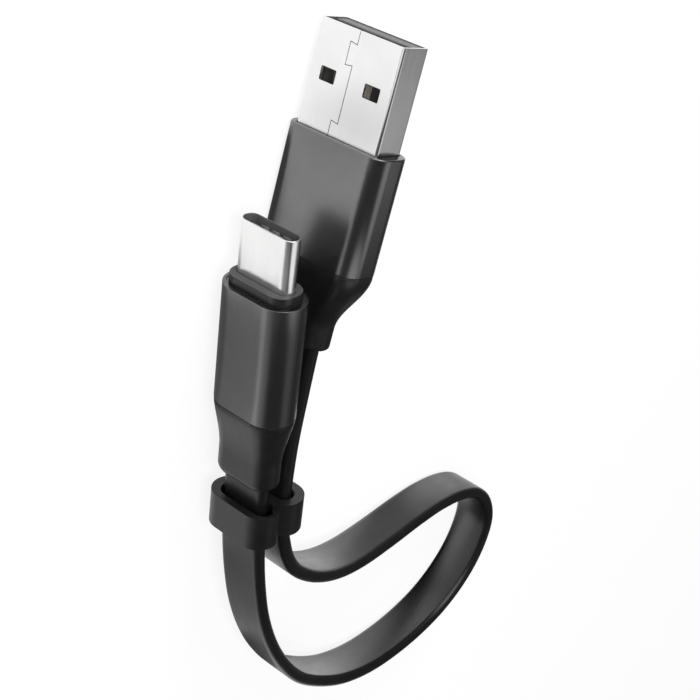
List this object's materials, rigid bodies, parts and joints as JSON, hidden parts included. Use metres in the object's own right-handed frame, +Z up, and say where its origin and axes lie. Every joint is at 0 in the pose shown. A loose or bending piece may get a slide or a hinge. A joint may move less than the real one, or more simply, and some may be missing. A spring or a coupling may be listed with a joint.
{
  "type": "charging cable",
  "caption": "Short flat charging cable with a USB-A plug and a USB-C plug, folded into a drop-shaped loop and held by a rubber clip.",
  "frame": {"origin": "on the table, under the middle of the lower narrow side of the USB-A housing", "axes": "+Z up, along the width of both plugs and of the ribbon; +Y the way the USB-C plug points; +X from the USB-C plug towards the USB-A plug"},
  "size_m": [0.0651, 0.1086, 0.0145],
  "materials": {
    "nickel": "polished nickel plate",
    "gold": "thin gold plate",
    "housing_grey": "satin dark grey anodised",
    "black_rubber": "satin black moulded elastomer",
    "grey_plastic": "light grey, plain",
    "black_plastic": "black, satin",
    "board_green": "green solder mask",
    "wire_red": "wire insulation",
    "wire_white": "wire insulation",
    "wire_green": "wire insulation",
    "wire_black": "wire insulation"
  },
  "bodies": {
    "cable": {"cord": "black_rubber", "usb_a_contact_1": "gold", "usb_a_contact_2": "gold", "usb_a_contact_3": "gold", "usb_a_contact_4": "gold", "usb_a_housing": "housing_grey", "usb_a_inner_mould": "black_plastic", "usb_a_insulator": "grey_plastic", "usb_a_shell": "nickel", "usb_a_strain_relief": "black_rubber", "usb_a_wire_black": "wire_black", "usb_a_wire_green": "wire_green", "usb_a_wire_red": "wire_red", "usb_a_wire_white": "wire_white", "usb_c_collar": "black_plastic", "usb_c_contact_a1": "gold", "usb_c_contact_a12": "gold", "usb_c_contact_a4": "gold", "usb_c_contact_a5": "gold", "usb_c_contact_a6": "gold", "usb_c_contact_a7": "gold", "usb_c_contact_a9": "gold", "usb_c_contact_b1": "gold", "usb_c_contact_b12": "gold", "usb_c_contact_b4": "gold", "usb_c_contact_b5": "gold", "usb_c_contact_b9": "gold", "usb_c_ground_spring_back": "nickel", "usb_c_ground_spring_front": "nickel", "usb_c_housing": "housing_grey", "usb_c_insulator": "black_plastic", "usb_c_latch_plate": "nickel", "usb_c_paddle_board": "board_green", "usb_c_pullup_resistor": "black_plastic", "usb_c_shell": "nickel", "usb_c_strain_relief": "black_rubber", "usb_c_wire_black": "wire_black", "usb_c_wire_green": "wire_green", "usb_c_wire_red": "wire_red", "usb_c_wire_white": "wire_white"},
    "clip": {"cable_clip": "black_rubber"}
  },
  "joints": [
    {"name": "clip_slide", "type": "slide", "parent": "cable", "child": "clip", "axis": [0, 1, 0], "range_m": [-0.0008, 0.0028]}
  ]
}
